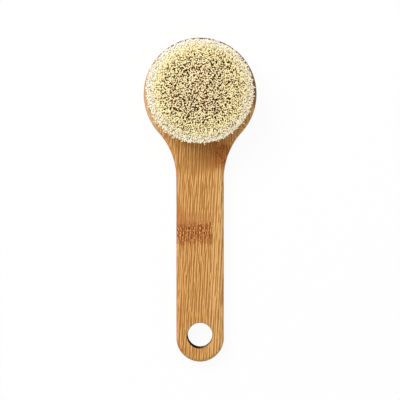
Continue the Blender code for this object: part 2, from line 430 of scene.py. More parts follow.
# %% Noise and mixes for finishes
class Finish(Graph):
    """A material's tree, with what the finishes of wood, bristle and steel share."""

    def __init__(self, name):
        self.material = bpy.data.materials.new(name)
        self.material.use_nodes = True
        super().__init__(self.material.node_tree)

    def place(self):
        """The point on the piece, in millimetres."""
        here = self.node("ShaderNodeTexCoord", output="Object")
        return [axis / MM for axis in self.axes(here)]

    def noise(self, x, y, z, detail):
        """Smooth noise from 0 to 1, about 0.5 on average, that changes over about one unit."""
        sockets = {"Vector": self.vector(x, y, z), "Scale": 1.0, "Detail": detail}
        return self.node("ShaderNodeTexNoise", {}, sockets)

    def chance(self, x, y, z=0.0):
        """A random number from 0 to 1 for each whole-numbered place."""
        return self.node("ShaderNodeTexWhiteNoise", {}, {"Vector": self.vector(x, y, z)})

    def mix(self, share, first, second):
        """Colour first where share is 0, and second where it is 1."""
        sockets = {0: share, 6: first, 7: second}
        return self.node("ShaderNodeMix", {"data_type": "RGBA"}, sockets, output=2)

    def glaze(self, base, share, tint):
        """The colour base with this share of a tint over it."""
        return self.mix(share, base, colour(*tint))

    def shader(self, **sockets):
        """The main shader, with its sockets' names written as Python words."""
        titles = {key: key.replace("_", " ").title().replace("Ior", "IOR") for key in sockets}
        sockets = {titles[key]: value for key, value in sockets.items()}
        return self.node("ShaderNodeBsdfPrincipled", {}, sockets)

    def done(self, surface):
        self.node("ShaderNodeOutputMaterial", {}, {"Surface": surface})
        return self.material


print("steps of a finish:", own_names(Finish))

# %% [markdown]
# ### Strips and plies
# The panel has three plies. The front ply shows two strips, whose joint runs at a slight slant down
# the handle, because the board wasn't sawn quite along them. The plies under it are laid with their
# joints elsewhere. Both kinds of glue line are thin and brown, and show best on the board's sides.

# %% Where a point lies in the panel
STRIP_WIDTH = 27.0
JOINT_X = 8.55
JOINT_Y = -100.0
JOINT_SLANT = 0.05
PLY = 4.0
FRONT_PLY = 2
# The strips are numbered across the panel, and the front ply's joint lies between these two.
LEFT_OF_JOINT = -1
RIGHT_OF_JOINT = 0
# Raised by this, the back face at height 0 is surely in the lowest ply.
BACK_MARGIN = 0.05
# A glue line's brown comes in between these two distances from it in mm, up to this share.
STRIP_GLUE_FROM, STRIP_GLUE_SHARE = (0.35, 0.1), 0.5
PLY_GLUE_FROM, PLY_GLUE_SHARE = (0.45, 0.15), 0.7
MOST_GLUE = 0.8
# Each draw for a strip or a ply has its own number.
SHIFT_DRAW = 7.0


def is_number(value, number):
    """1 where a whole-numbered value is this number, and 0 elsewhere."""
    return (value > number - 0.5) * (value < number + 0.5)


def panel_place(f):
    """Where the point lies: across the strips, in which strip and ply, and how near to a glue line."""
    x, y, z = f.place()
    across = x - (y - JOINT_Y) * JOINT_SLANT - JOINT_X
    ply = ((z + BACK_MARGIN) / PLY).floor().smallest(FRONT_PLY)
    front = is_number(ply, FRONT_PLY)
    shift = (1 - front) * (f.chance(ply, SHIFT_DRAW) * STRIP_WIDTH)
    strips = (across + shift) / STRIP_WIDTH
    strip = strips.floor()
    from_strip_glue = ((strips + 0.5) % 1 - 0.5).abs() * STRIP_WIDTH
    from_ply_glue = (z - PLY).abs().smallest((z - 2 * PLY).abs())
    strip_glue = from_strip_glue.rise(*STRIP_GLUE_FROM) * STRIP_GLUE_SHARE
    ply_glue = from_ply_glue.rise(*PLY_GLUE_FROM) * PLY_GLUE_SHARE
    at = SimpleNamespace(x=x, y=y, z=z, across=across, strip=strip, ply=ply, front=front)
    at.left_strip = front * is_number(strip, LEFT_OF_JOINT)
    at.right_strip = front * is_number(strip, RIGHT_OF_JOINT)
    at.glue = (strip_glue + ply_glue).smallest(MOST_GLUE)
    return at


print("plies of %.0f mm:" % PLY, FRONT_PLY + 1)

# %% [markdown]
# ### Fibre bundles
# Close up, bamboo is a row of pale and dark fibre bundles that run straight but never quite evenly.
# Noise alone looks blotchy at that scale, so the bundles are two sine waves of unlike pitch whose
# phase wavers. Under the front face the bundles show cut through, on the sawn ends, as a stipple of
# dots. Voronoi cells draw those, one bundle to a cell.

# %% The fibre bundles
FIBRE_PITCH = 1.65
WIDE_PITCH = 1.55 * FIBRE_PITCH
DEPTH_PITCH = 1.9
WIDE_DEPTH = 0.8
FINE_WAVER = 9
WIDE_WAVER = 8
FINE_SHARE = 0.62
WIDE_SHARE = 0.38
BUNDLE_PITCH = 1.05
BUNDLE_EDGE = 0.42
BUNDLE_CONTRAST = 2.4
BUNDLE_WAVER = 0.6
# How far along the board a bundle shifts by one cell in depth, in mm.
BUNDLE_RUN = 70


def rows_of_bundles(at, lane, waver):
    """The bundles from the side: dark and pale lines, which average 0."""
    depth = at.z * (FULL_TURN / DEPTH_PITCH)
    fine = (lane * (FULL_TURN / FIBRE_PITCH) + depth + waver * FINE_WAVER).sin()
    wide = (lane * (FULL_TURN / WIDE_PITCH) - depth * WIDE_DEPTH - waver * WIDE_WAVER).sin()
    return fine * FINE_SHARE + wide * WIDE_SHARE


def cut_bundles(f, at, lane, waver):
    """The bundles cut through: a dot in each cell, positive near its middle."""
    across = lane / BUNDLE_PITCH + waver * BUNDLE_WAVER
    deep = at.z / BUNDLE_PITCH + at.y / BUNDLE_RUN
    sockets = {"Vector": f.vector(across, deep, 0.0), "Scale": 1.0}
    from_middle = f.node("ShaderNodeTexVoronoi", {"voronoi_dimensions": "2D"}, sockets)
    return (BUNDLE_EDGE - from_middle) * BUNDLE_CONTRAST


print("fibre bundles about every %.2f mm" % FIBRE_PITCH)

# %% [markdown]
# ### Marks along the fibres
# Noises that are stretched along the board add broad tints, streaks, single fibres and hair lines.
# All of them wander slowly to one side and back, as the stalk did. Each strip and ply has a lane of
# its own, so that the marks break off at the glue lines.

# %% The grain
# How far each mark reaches across the fibres, along them and into the board in mm, and its detail.
MARKS = {
    "broad": (2.5, 70, 2.5, 1),
    "waver": (2.6, 14, 1.3, 1),
    "streaks": (0.66, 22, 0.66, 0),
    "fibres": (0.47, 15, 0.47, 0),
    "hairs": (0.3, 5, 0.3, 1),
    "specks": (0.5, 1.75, 0.5, 0),
}
# Between which depths under the front face in mm cut bundles take over from the rows.
CELLS_FROM = (0.5, 2.0)
# The same for the slow wander of all fibres, and how far they go.
WANDER_REACH = (9, 60, 9, 2)
WANDER = 0.8
STRIP_LANE = 5.7
PLY_LANE = 11.3
# Dashes are specks that keep to the rows of bundles.
SPECKS_IN_DASHES = 0.7
RIBS_IN_DASHES = 0.11


def stretched(f, lane, at, across, along, deep, detail):
    """Noise that is stretched by the three reaches."""
    return f.noise(lane / across, at.y / along, at.z / deep, detail)


def grain(f, at):
    """The marks along the fibres. Each averages about 0.5, apart from the ribs, which average 0."""
    drift = at.across + (stretched(f, at.across, at, *WANDER_REACH) - 0.5) * WANDER
    lane = drift + at.strip * STRIP_LANE + at.ply * PLY_LANE
    marks = SimpleNamespace(drift=drift)
    for name, reach in MARKS.items():
        setattr(marks, name, stretched(f, lane, at, *reach))
    inside = (THICKNESS / MM - at.z).rise(*CELLS_FROM)
    rows = rows_of_bundles(at, lane, marks.waver)
    marks.ribs = rows * (1 - inside) + cut_bundles(f, at, lane, marks.waver) * inside
    marks.dashes = marks.specks * SPECKS_IN_DASHES + marks.ribs * RIBS_IN_DASHES
    marks.dashes += (1 - SPECKS_IN_DASHES) / 2
    return marks


print("kinds of mark:", list(MARKS))

# %% [markdown]
# ### Nodes
# A node is where the stalk was closed by a wall. In a planed strip it is a dark band nearly 20 mm
# long, full of short dashes that are crisp at its upper end and blurred at the lower one. The left
# strip has its node half-way down the handle, the right strip on the neck, and the plies underneath
# have theirs wherever the strip happened to be cut.

# %% The nodes
LEFT_NODE_Y = -99.7
RIGHT_NODE_Y = -44.0
HIDDEN_NODES_FROM = -200
HIDDEN_NODES_OVER = 240
NODE_DRAW = 11.0
# The heights over a node's middle in mm between which its band and its heart come in, from above and
# from below. Above CRISP the dashes are crisp, and below it they keep this share.
BAND = ((8.5, 6.0), (-11.5, -6.0))
HEART = ((7.5, 5.5), (-9.5, -5.0))
CRISP = (-6.0, -1.0)
BLURRED_SHARE = 0.6
RAGGED = 7


def node_bands(f, at, marks):
    """How much of a node's band is at the point, how much of its heart, and how crisp its dashes."""
    hidden = f.chance(at.strip, at.ply, NODE_DRAW) * HIDDEN_NODES_OVER + HIDDEN_NODES_FROM
    shown = at.left_strip * LEFT_NODE_Y + at.right_strip * RIGHT_NODE_Y
    node_y = shown + (1 - at.left_strip - at.right_strip) * hidden
    from_node = at.y - node_y + (marks.fibres - 0.5) * RAGGED + (marks.dashes - 0.5) * RAGGED
    band, heart = (from_node.rise(*above) * from_node.rise(*below) for above, below in (BAND, HEART))
    dashed = band * (from_node.rise(*CRISP) * (1 - BLURRED_SHARE) + BLURRED_SHARE)
    return band, heart, dashed


print("nodes of the front ply at y = %.1f and %.1f mm" % (LEFT_NODE_Y, RIGHT_NODE_Y))

# %% [markdown]
# ### The colours of the wood
# The bamboo has been steamed, which turns it honey brown. Every mark is a thin glaze over that: a
# share of a darker or paler brown where the mark is high or low.

# %% The glazes
LEFT_STRIP = (191, 136, 65)
RIGHT_STRIP = (213, 164, 94)
INNER_PLY = (178, 120, 56)
INNER_SHARE = 0.5
TONE_DRAW = 3.0
# A mark, the levels between which its glaze comes in, the glaze's share, and its colour.
GLAZES = (
    ("broad", 0.52, 0.75, 0.5, (188, 112, 48)),
    ("broad", 0.46, 0.28, 0.4, (200, 152, 66)),
    ("streaks", 0.5, 0.64, 0.32, (158, 98, 36)),
    ("streaks", 0.48, 0.33, 0.28, (226, 174, 98)),
    ("ribs", 0.0, 0.6, 0.78, (150, 92, 34)),
    ("ribs", 0.0, -0.6, 0.68, (240, 188, 124)),
    ("hairs", 0.55, 0.75, 0.5, (132, 80, 28)),
)


def glazed_wood(f, at, marks):
    base = f.mix(at.right_strip, colour(*LEFT_STRIP), colour(*RIGHT_STRIP))
    tone = f.chance(at.strip, at.ply, TONE_DRAW)
    base = f.glaze(base, (1 - at.front) * tone * INNER_SHARE, INNER_PLY)
    for mark, low, high, share, tint in GLAZES:
        base = f.glaze(base, getattr(marks, mark).rise(low, high) * share, tint)
    return base


print("glazes:", len(GLAZES))

# %% [markdown]
# ### Nodes, patches and a painted rim
# Over the glazes come the nodes with their dashes. A few soft patches are redder, one across the
# neck is darker as a painted shadow of the pad, and one just above the left node is browner. The
# head's front rim is painted darker at the upper right, as painted shade under the bristles, and
# paler at the left, as a painted highlight. Glue lines go on last, because they cut through everything.

# %% The colour of the wood
GLUE = (120, 72, 30)
NODE_BAND, BAND_SHARE = (166, 92, 24), 0.65
NODE_HEART, HEART_SHARE = (140, 72, 18), 0.36
# The levels, share and colour of a node's dark dashes and of its pale ones.
DASHES = (
    (0.5, 0.57, 0.95, (100, 42, 0)),
    (0.47, 0.39, 0.78, (240, 172, 96)),
)
REDDISH = (172, 96, 32)
BROWNER = (174, 112, 58)
# The pad's shadow across the neck, painted as a darker patch.
NECK_SHADOW = (158, 106, 44)
# A patch's middle and its reach across and along the board in mm, and its colour. PATCH_FROM holds
# squares of shares of that reach.
PATCHES = (
    (-10.9, -160.0, 1.3, 14.0, REDDISH),
    (-14.5, -89.0, 3.5, 9.0, REDDISH),
    (-11.5, -187.0, 5.0, 6.0, REDDISH),
    (8.0, -43.0, 13.0, 13.0, REDDISH),
    # Painted shadow of the pad across the neck.
    (-4.0, -51.0, 15.0, 8.0, NECK_SHADOW),
    (-6.0, -90.5, 13.0, 5.5, BROWNER),
)
PATCH_FROM = (1.5, 0.1)
PATCH_SHARE = 0.5
# Which way a painted tint of the head's rim lies, from where to where it comes in that way in mm, its
# share and its colour: painted shade at the upper right, then a painted highlight at the left. The
# other three pairs keep both tints off the face, the sides and the neck.
RIM_SHADE_AND_HIGHLIGHT = (
    ((0.4, 0.9), (0, 26), 0.78, (78, 53, 36)),
    ((-0.95, -0.3), (10, 34), 0.3, (222, 204, 178)),
)
RIM_OUT = (37.6, 39.8)
RIM_UP = (8.0, 10.5)
RIM_ALONG = (-34, -20)


def wood_colour(f, at, marks):
    band, heart, dashed = node_bands(f, at, marks)
    base = f.glaze(glazed_wood(f, at, marks), band * BAND_SHARE, NODE_BAND)
    base = f.glaze(base, heart * HEART_SHARE, NODE_HEART)
    for low, high, share, tint in DASHES:
        base = f.glaze(base, dashed * marks.dashes.rise(low, high) * share, tint)
    for patch_x, patch_y, broad_by, long_by, tint in PATCHES:
        apart = ((marks.drift + JOINT_X - patch_x) / broad_by) ** 2 + ((at.y - patch_y) / long_by) ** 2
        base = f.glaze(base, at.front * apart.rise(*PATCH_FROM) * PATCH_SHARE, tint)
    from_head = (at.x * at.x + at.y * at.y) ** 0.5
    rim = from_head.rise(*RIM_OUT) * at.z.rise(*RIM_UP) * at.y.rise(*RIM_ALONG)
    # Painted shade at the upper right of the head's rim, and a painted highlight at its left.
    for (way_x, way_y), (low, high), share, tint in RIM_SHADE_AND_HIGHLIGHT:
        base = f.glaze(base, rim * (at.x * way_x + at.y * way_y).rise(low, high) * share, tint)
    return f.glaze(base, at.glue, GLUE)


print("patches:", len(PATCHES), "tints of the rim:", len(RIM_SHADE_AND_HIGHLIGHT))

# %% [markdown]
# ### The scorched hole, its painted shade, and the gloss
# The drill's heat leaves the wall of the hanging hole dark, and painted shade darkens it more, most
# of all at its lower left, where the wall lies in shade, as a thin black crescent. Char and painted
# shade have no gloss at all, so they are a second shader that the wood's is mixed with. The wood
# itself is oiled: half matt, with the fibres just raised by water, which a Bump node shows from the
# same marks that colour them.

# %% The bamboo finish
CHAR_AND_SHADE = (42, 18, 5)
# Where the char and the painted shade come in: in mm towards the hole's lower left, where the painted shade
# is added, and in mm outside its wall.
SHADE_TOWARDS = (-3.0, -12.0)
CHAR_AND_SHADE_OUTSIDE = (0.3, 0.05)
SHADE_FURTHER = 0.5
CHAR_AND_SHADE_SHARE = 0.6
RAISED_FIBRES = 0.15 * MM
RAISED_STRENGTH = 0.35
FIBRE_HEIGHT, STREAK_HEIGHT = 0.6, 0.4
LEAST_ROUGH = 0.42
ROUGH_FIBRES = 0.14
OILED_GLOSS = 0.2


def scorch_and_painted_shade(at):
    """How dark the wall is, from char and painted shade. At the lower left the painted shade reaches
    further out, and is darkest.
    """
    hole_y = at.y - HANG_HOLE_PLACE / MM
    from_hole = (at.x * at.x + hole_y * hole_y) ** 0.5
    # Painted shade: the lower left of the wall lies in shade, and is painted darker.
    shaded_lower_left = (at.x + hole_y).rise(*SHADE_TOWARDS)
    wall = HANG_HOLE_RADIUS / MM
    charred_and_shaded = (from_hole - shaded_lower_left * SHADE_FURTHER).rise(*(wall + out for out in CHAR_AND_SHADE_OUTSIDE))
    return charred_and_shaded * (CHAR_AND_SHADE_SHARE + shaded_lower_left * (1 - CHAR_AND_SHADE_SHARE))


def bamboo_finish():
    f = Finish("laminated_bamboo")
    at = panel_place(f)
    marks = grain(f, at)
    height = marks.fibres * FIBRE_HEIGHT + marks.streaks * STREAK_HEIGHT
    raised = {"Strength": RAISED_STRENGTH, "Distance": RAISED_FIBRES, "Height": height}
    wood = f.shader(
        base_color=wood_colour(f, at, marks),
        roughness=LEAST_ROUGH + marks.fibres * ROUGH_FIBRES,
        normal=f.node("ShaderNodeBump", {}, raised),
        specular_ior_level=OILED_GLOSS,
    )
    # The char and the painted shade of the hole's wall: a dark matt shader.
    char_and_shade = f.node("ShaderNodeBsdfDiffuse", {}, {"Color": colour(*CHAR_AND_SHADE)})
    return f.done(f.node("ShaderNodeMixShader", {}, {0: scorch_and_painted_shade(at), 1: wood, 2: char_and_shade}))


board.data.materials.clear()
board.data.materials.append(bamboo_finish())
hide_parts("bamboo_board")
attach(board, "root")
print("nodes in the bamboo finish:", len(board.data.materials[0].node_tree.nodes))

# %% [markdown]
# ## The bristles
# A tuft is a bundle of natural bristles, folded over a small flat wire and driven into its hole.
# Above the board the bundle spreads until its tips fill the space between it and its neighbours,
# and the whole pad is then sheared level. Hair particles could draw this, but they aren't meshes.
# Geometry Nodes make real strands from a rule. One tree grows one ring of tufts, and its inputs are
# the sizes that a brush maker would give.

# %% A tree with named inputs
NUMBER = "NodeSocketFloat"
COUNT = "NodeSocketInt"
MATERIAL = "NodeSocketMaterial"
GEOMETRY = "NodeSocketGeometry"
BRISTLE_INPUTS = {
    **dict.fromkeys(("Tufts", "Strands", "Seed"), COUNT),
    **dict.fromkeys(("Hole Ring", "Tips From", "Tips To", "Bundling", "Rim", "Foot", "Top"), NUMBER),
    **dict.fromkeys(("Thickness", "Wave", "Hook", "Splay", "Shift", "Squeeze"), NUMBER),
    "Material": MATERIAL,
}


def new_tree(name, inputs, output):
    """A tree of Geometry Nodes, and each of its inputs as a value for sums."""
    tree = bpy.data.node_groups.new(name, "GeometryNodeTree")
    for title, kind in inputs.items():
        tree.interface.new_socket(title, in_out="INPUT", socket_type=kind)
    tree.interface.new_socket(output, in_out="OUTPUT", socket_type=GEOMETRY)
    g = Graph(tree)
    group = tree.nodes.new("NodeGroupInput")
    return g, {title: Value(g, group.outputs[title]) for title in inputs}


def finished_tree(g, given, geometry, output):
    """Ends a tree in plain geometry with its material."""
    real = g.node("GeometryNodeRealizeInstances", {}, {"Geometry": geometry})
    dressed = g.node("GeometryNodeSetMaterial", {}, {"Geometry": real, "Material": given["Material"]})
    g.node("NodeGroupOutput", {}, {output: dressed})
    return g.tree


def grown(obj, tree, values):
    """Runs a tree on obj and keeps what it makes. Inputs are set by identifier, not by name."""
    grow = obj.modifiers.new("grow", "NODES")
    grow.node_group = tree
    for item in tree.interface.items_tree:
        if item.in_out == "INPUT" and item.name in values:
            grow[item.identifier] = values[item.name]
    return applied(obj)


print("inputs of the bristle tree:", len(BRISTLE_INPUTS))

# %% [markdown]
# ### Numbering the strands
# The tree starts with a bare list of points. Each point works out from its own number which strand
# it belongs to, how far up the strand it is, and which tuft the strand is in. A strand draws its own
# random numbers, the same at all of its points. The points crowd towards the tip, which bends most.

# %% Which strand a point belongs to
POINTS_ON_STRAND = 5
CROWDING = 1.6
DRAWS_FOR_A_STRAND = 20


def strand_numbers(g, given):
    """Half is added before rounding down, so that a tiny error can't lead to a neighbour."""
    index = g.node("GeometryNodeInputIndex")
    strand = ((index + 0.5) / POINTS_ON_STRAND).floor()
    step = (index % POINTS_ON_STRAND) / (POINTS_ON_STRAND - 1)
    at = SimpleNamespace(strand=strand, along=1 - (1 - step) ** CROWDING)
    at.tuft = ((strand + 0.5) / given["Strands"]).floor()
    at.place = strand % given["Strands"]
    return at


def strand_draws(g, given, at):
    """A function that draws a number from 0 to 1 for each strand. Each draw has its own number."""

    def draw(which):
        sockets = {"ID": at.strand, "Seed": given["Seed"] * DRAWS_FOR_A_STRAND + which}
        return g.node("FunctionNodeRandomValue", {}, sockets, output=1)

    return draw


print("points on a strand:", POINTS_ON_STRAND)

# %% [markdown]
# ### Where each tip goes
# The holes stand in rings, but the tips fill the pad evenly. Each ring's tips share a band of the
# pad, each tuft's tips a slice of that band, and in the slice they are placed by the golden share,
# as seeds are in a sunflower, which leaves no rows to see. Near the rim the strands splay outwards,
# most of all at the upper left. There the pad's edge is pressed open into a smooth crescent, which
# the finish also paints pale as a painted highlight on the side that faces the lamp, so each strand
# also works out how far it belongs to that.

# %% The tips
GOLDEN_SHARE = (math.sqrt(5) - 1) / 2
# From which share of the pad's radius the strands splay and are opened, and which way most of all, in
# radians. OPENED_WAY holds cosines of the angle from there.
SPLAY_FROM = 0.72
SPLAY_UNEVEN = 0.5
MOST_SPLAY_AT = 2.3
OPENED_WAY = (0.0, 0.6)
OPENED_FROM = (0.79, 0.98)
OPENED_DEEPER = 0.15
# A hole ring smaller than this is the one tuft in the middle, which leans no way.
NO_RING = 1e-6


def strand_tips(given, at):
    """The directions of the strand's hole and tip, how far out its tip is, how far it is opened and painted
    lit, and how splayed.
    """
    hole_angle = at.tuft * FULL_TURN / given["Tufts"] + TOP_OF_HEAD
    tip_angle = hole_angle + (at.place * GOLDEN_SHARE % 1 - 0.5) * FULL_TURN / given["Tufts"]
    inner = given["Tips From"] ** 2
    out = (inner + (given["Tips To"] ** 2 - inner) * (at.place + 0.5) / given["Strands"]) ** 0.5
    edge = out / given["Rim"]
    facing = (tip_angle - MOST_SPLAY_AT).cos()
    tips = SimpleNamespace(hole_angle=hole_angle, tip_angle=tip_angle, out=out, edge=edge)
    tips.middle = (given["Tips From"] + given["Tips To"]) * 0.5 * (given["Hole Ring"] > NO_RING)
    tips.opened = facing.rise(*OPENED_WAY) * (edge + facing * OPENED_DEEPER).rise(*OPENED_FROM)
    tips.splay = edge.rise(SPLAY_FROM, 1.0) * given["Splay"] * (1 + facing * SPLAY_UNEVEN)
    return tips


print("strands splay from %.0f%% of the pad's radius" % (100 * SPLAY_FROM))

# %% [markdown]
# ### The way up
# From its hole a strand leans towards its tip, ever more as it rises. Boar's hair isn't straight, so
# each strand waves a little on the way and hooks at its very end. No strand may reach past the rim
# by more than a stray's length, and a few are worn short. The pad as a whole is pressed a little
# along the handle, towards the top of the head. It is trimmed closer there and at the upper right,
# so that a thin line of wood still shows.

# %% The path of a strand
# The higher its power, the later on the way up a bend comes.
FLARE_POWER = 1.25
LEAN_POWER = 6
HOOK_POWER = 9
# The least of a bend, and how much chance may add to it.
WAVES = (5, 6)
HOOKS = (0.3, 3)
LEANS = (0.85, 0.7)
# How far a tip may stray past the pad's rim, and how far short of it, in mm. Opened tips stray less.
LONGEST_STRAY = 1.9
SHORTEST_STRAY = 1.4
OPENED_LESS = 0.6
TRIMMED = 1.0
MOST_TRIMMED_AT = 1.1
TRIMMED_WAY = (0.2, 0.9)
WORN_SHORT = 4 * MM
UNEVEN = 0.4 * MM
LOWER_BY_SPLAY = 0.6


def with_chance(chance, least, more):
    return chance * more + least


def strand_path(g, given, at, tips, draw):
    """A chance that is raised to a power is seldom high, so few strands bend or stray far."""
    along = at.along
    wave_angle = draw(1) * FULL_TURN
    wave_phase = draw(2) * FULL_TURN
    wave = (along * with_chance(draw(3), *WAVES) + wave_phase).sin() * along * given["Wave"]
    hook_angle = draw(4) * FULL_TURN
    hook = along**HOOK_POWER * with_chance(draw(5) ** 3, *HOOKS) * given["Hook"]
    flare = along**FLARE_POWER

    def sideways(turn):
        hole = turn(tips.hole_angle) * given["Hole Ring"]
        tip = turn(tips.tip_angle) * (tips.out - tips.splay)
        root = hole + (tip - turn(tips.hole_angle) * tips.middle) * given["Bundling"]
        lean = turn(tips.tip_angle) * tips.splay * along**LEAN_POWER * with_chance(draw(6) ** 4, *LEANS)
        return root + (tip - root) * flare + lean + turn(wave_angle) * wave + turn(hook_angle) * hook

    x = sideways(Value.cos)
    y = sideways(Value.sin)
    out = (x * x + y * y) ** 0.5
    stray = draw(6) ** 4 * LONGEST_STRAY * (1 - tips.opened * OPENED_LESS) - draw(10) * SHORTEST_STRAY
    trimmed = (tips.tip_angle - MOST_TRIMMED_AT).cos().rise(*TRIMMED_WAY) * TRIMMED
    reach = given["Rim"] + (stray - trimmed) * MM
    hold = (reach / out).smallest(1.0)
    pressed = flare * (given["Shift"] - y * hold * given["Squeeze"])
    short = draw(7) ** 5 * WORN_SHORT + draw(8) * UNEVEN + tips.splay * LOWER_BY_SPLAY
    z = given["Foot"] + (given["Top"] - given["Foot"] - short) * along
    return g.vector(x * hold, y * hold + pressed, z)


print("the shortest strands end %.1f mm below the others" % (WORN_SHORT / MM))

# %% [markdown]
# ### From points to bristles
# Points with the same strand number are joined to a curve, and each curve is swept with a small
# square section. Four sides are enough for hair, and keep thousands of strands light. Four numbers
# are kept on the mesh for the finish: the strand's tone, how far along it a point is, how near the
# rim its tip is, and how far it is pressed open and painted lit. Opened tips split and spread, so they are
# thicker.
# The tree ends in plain geometry and its material.

# %% The tree that grows a ring of tufts
STRAND_SIDES = 4
# A strand's share of the given thickness, and how its tone, the rim and being opened change it.
THINNEST = 0.8
THICKER_TONE = 0.4
THINNER_AT_RIM = 0.2
THICKER_OPENED = 0.28
THIN_FROM = 0.8


def swept_strands(g, given, at, tips, draw, position):
    count = given["Tufts"] * given["Strands"] * POINTS_ON_STRAND
    points = g.node("GeometryNodePoints", {}, {"Count": count, "Position": position})
    kept_values = {"tone": draw(9), "along": at.along, "edge": tips.edge, "opened": tips.opened}
    for name, value in kept_values.items():
        sockets = {"Geometry": points, "Name": name, "Value": value}
        points = g.node("GeometryNodeStoreNamedAttribute", {}, sockets)
    tone, edge, opened = (
        g.node("GeometryNodeInputNamedAttribute", {}, {"Name": kept}) for kept in ("tone", "edge", "opened")
    )
    sockets = {"Points": points, "Curve Group ID": at.strand, "Weight": at.along}
    curves = g.node("GeometryNodePointsToCurves", {}, sockets)
    sockets = {"Resolution": STRAND_SIDES, "Radius": 1.0}
    section = g.node("GeometryNodeCurvePrimitiveCircle", {}, sockets)
    share = THINNEST + tone * THICKER_TONE - edge.rise(THIN_FROM, 1.0) * THINNER_AT_RIM
    thick = given["Thickness"] * 0.5 * (share + opened * THICKER_OPENED)
    sockets = {"Curve": curves, "Profile Curve": section, "Scale": thick, "Fill Caps": True}
    return g.node("GeometryNodeCurveToMesh", {}, sockets)


def bristle_tree():
    g, given = new_tree("bristle_ring", BRISTLE_INPUTS, "Bristles")
    at = strand_numbers(g, given)
    draw = strand_draws(g, given, at)
    tips = strand_tips(given, at)
    position = strand_path(g, given, at, tips, draw)
    strands = swept_strands(g, given, at, tips, draw, position)
    flat = g.node("GeometryNodeSetShadeSmooth", {}, {"Geometry": strands, "Shade Smooth": False})
    return finished_tree(g, given, flat, "Bristles")


tree = bristle_tree()
print("nodes in the bristle tree:", len(tree.nodes))

# %% [markdown]
# ### The finish of the bristles
# Natural bristle is cream at its split tip and browner below, and below the tips the strands are
# painted darker still, as painted shade for the little light that gets down between them. About one
# strand in six is tan all the way. At the rim the sides of the strands show, and they are painted
# paler than those inside, as painted light for the full light they catch from the side. The opened
# tips at the upper left face the lamp and are painted palest of all, as a painted highlight. All of
# this reads the numbers kept on the strands, so it stays with them from any side.

# %% The bristle finish
TIP = (255, 241, 186)
LIT_RIM_TIP = (252, 244, 221)
ROSY_TIP, ROSY_SHARE = (255, 230, 194), 0.8
TAN = (138, 80, 18)
DEEP_SHADE = (120, 66, 0)
LIT_RIM_SIDE, LIT_SIDE_SHARE = (242, 224, 166), 0.7
RIM_FOOT, FOOT_SHARE = (160, 128, 68), 0.6
OPENED_LIT_TIP = (236, 223, 174)
OPENED_LIT_RIM = (246, 240, 226)
OPENED_LIT_SHARE = 0.78
# Between which tones of a strand, nearnesses to the rim or shares of its length a look comes in.
OUTER_EDGE = (0.74, 1.0)
ROSY_TONE, ROSY_EDGE = (0.5, 0.9), (0.7, 0.3)
TAN_TONE, TAN_LESS_AT_RIM = (0.22, 0.1), 0.85
DEEP_SHADE_ALONG = (0.985, 0.92)
SCREENED_EDGE, SCREENED_ALONG = (0.5, 0.62), (0.65, 0.4)
LIT_SIDE_ALONG = (0.85, 0.5)
FOOT_ALONG = (0.5, 0.05)
OPENED_LIT_EDGE, OPENED_LIT_ALONG = (0.8, 0.97), (0.5, 0.9)


def bristle_finish():
    """Low down near the rim, light gets in between the tufts, so the painted shade is kept off the strands
    there.
    """
    f = Finish("natural_bristle")
    tone, along, edge, opened = (
        f.node("ShaderNodeAttribute", {"attribute_name": kept}, output="Fac")
        for kept in ("tone", "along", "edge", "opened")
    )
    outer = edge.rise(*OUTER_EDGE)
    screened = edge.rise(*SCREENED_EDGE) * along.rise(*SCREENED_ALONG)
    # Painted light: the tips at the rim are painted paler, for the full light they catch.
    base = f.mix(outer, colour(*TIP), colour(*LIT_RIM_TIP))
    base = f.glaze(base, tone.rise(*ROSY_TONE) * edge.rise(*ROSY_EDGE) * ROSY_SHARE, ROSY_TIP)
    base = f.glaze(base, tone.rise(*TAN_TONE) * (1 - outer * TAN_LESS_AT_RIM), TAN)
    # Painted shade below the tips, kept off the rim and where light gets in.
    base = f.glaze(base, along.rise(*DEEP_SHADE_ALONG) * (1 - outer) * (1 - screened), DEEP_SHADE)
    # Painted light on the sides of the strands at the rim.
    base = f.glaze(base, along.rise(*LIT_SIDE_ALONG) * outer * LIT_SIDE_SHARE, LIT_RIM_SIDE)
    base = f.glaze(base, along.rise(*FOOT_ALONG) * outer * FOOT_SHARE, RIM_FOOT)
    # Painted highlight: the opened tips at the upper left, which face the lamp, are painted palest.
    painted_highlight = f.mix(edge.rise(*OPENED_LIT_EDGE), colour(*OPENED_LIT_TIP), colour(*OPENED_LIT_RIM))
    base = f.mix(opened * along.rise(*OPENED_LIT_ALONG) * OPENED_LIT_SHARE, base, painted_highlight)
    return f.done(f.shader(base_color=base, roughness=0.5, specular_ior_level=0.05))


bristle = bristle_finish()
print("nodes in the bristle finish:", len(bristle.node_tree.nodes))

# %% [markdown]
# ### Growing the pad
# The five rings are five pieces, so that none has too many faces. The inner rings have 112 strands a
# tuft, and the outermost nearly twice as many, because its strands are seen from the side too. Every
# tuft's tips get the same share of the pad, so a ring's band follows from the tufts inside it.

# %% Growing the pad
TUFTS = sum(len(names) for names in RINGS)
STRANDS = (112, 112, 112, 138, 222)
PAD_RADIUS = 38.1 * MM
BRISTLE_TOP = CAD_BOX[1].z
FOLD_HEIGHT = 1 * MM
TOP_MARGIN = 0.35 * MM
PAD_SIZES = {
    "Bundling": 0.3,
    "Rim": PAD_RADIUS,
    "Foot": HOLE_FLOOR + FOLD_HEIGHT,
    "Top": BRISTLE_TOP - TOP_MARGIN,
    "Thickness": 1.0 * MM,
    "Wave": 0.24 * MM,
    "Hook": 0.42 * MM,
    "Splay": 3.2 * MM,
    "Shift": 0.78 * MM,
    "Squeeze": 0.015,
    "Material": bristle,
}


